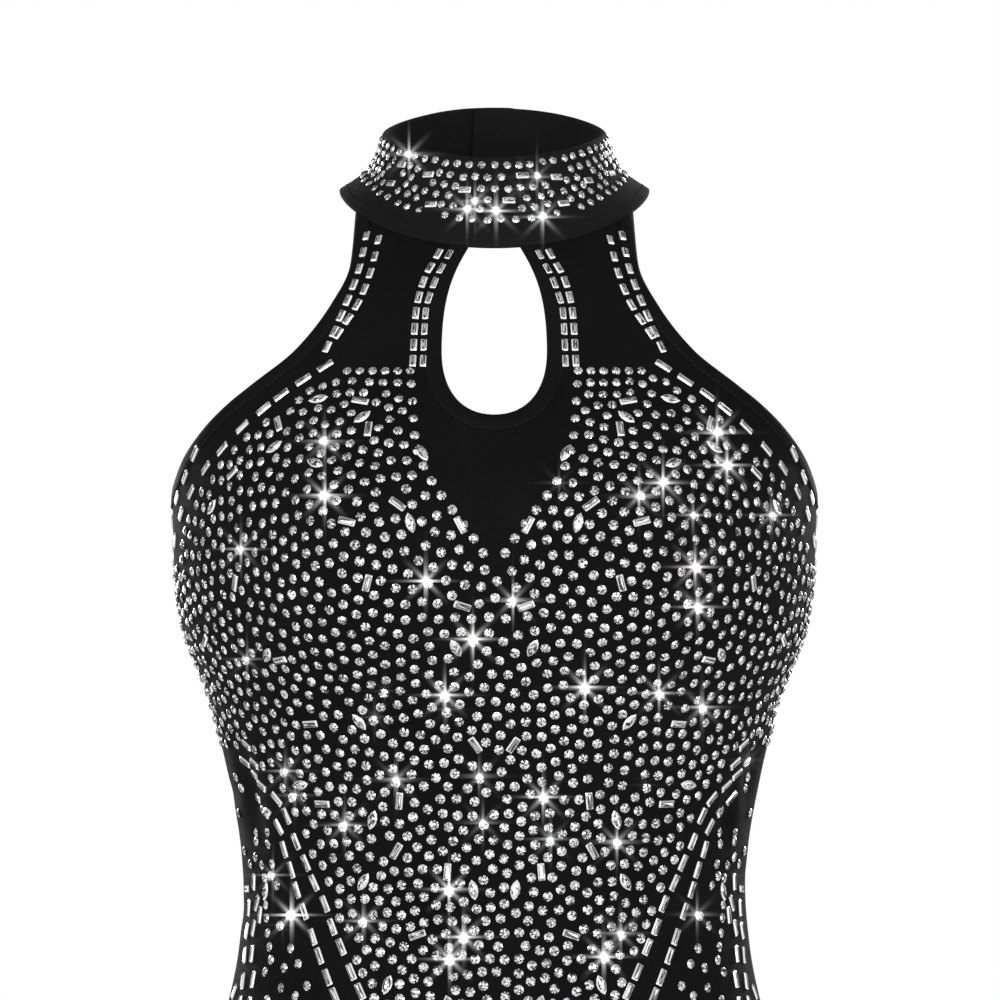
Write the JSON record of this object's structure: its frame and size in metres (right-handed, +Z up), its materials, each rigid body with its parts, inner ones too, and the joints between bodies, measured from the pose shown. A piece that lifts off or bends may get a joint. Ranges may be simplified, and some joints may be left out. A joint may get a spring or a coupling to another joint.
{
  "type": "rhinestone halter jumpsuit",
  "caption": "Sleeveless halter stage jumpsuit with stand collar, keyhole front, open back and slim legs, in its worn hollow form, for a stretch knit set with rhinestones.",
  "frame": {"origin": "middle of the neck, halfway up the collar, where the wearer's neck holds the jumpsuit", "axes": "+Z up along the standing figure, -Y towards the front, +X towards the wearer's left"},
  "size_m": [0.3448, 0.2559, 1.337],
  "materials": {
    "knit": "matt black stretch knit with fine vertical ribs",
    "collar_knit": "matt black doubled knit band",
    "binding_knit": "smooth black knit band",
    "button": "gloss black",
    "crystal": "clear faceted glass on silver foil"
  },
  "bodies": {
    "root": {"collar": "collar_knit", "front": "knit", "back": "knit", "leg_front_left": "knit", "leg_front_right": "knit", "leg_back_left": "knit", "leg_back_right": "knit", "keyhole_binding": "binding_knit", "armhole_binding_left": "binding_knit", "armhole_binding_right": "binding_knit", "back_binding": "binding_knit", "nape_button_lower": "button", "nape_button_upper": "button"}
  },
  "joints": []
}
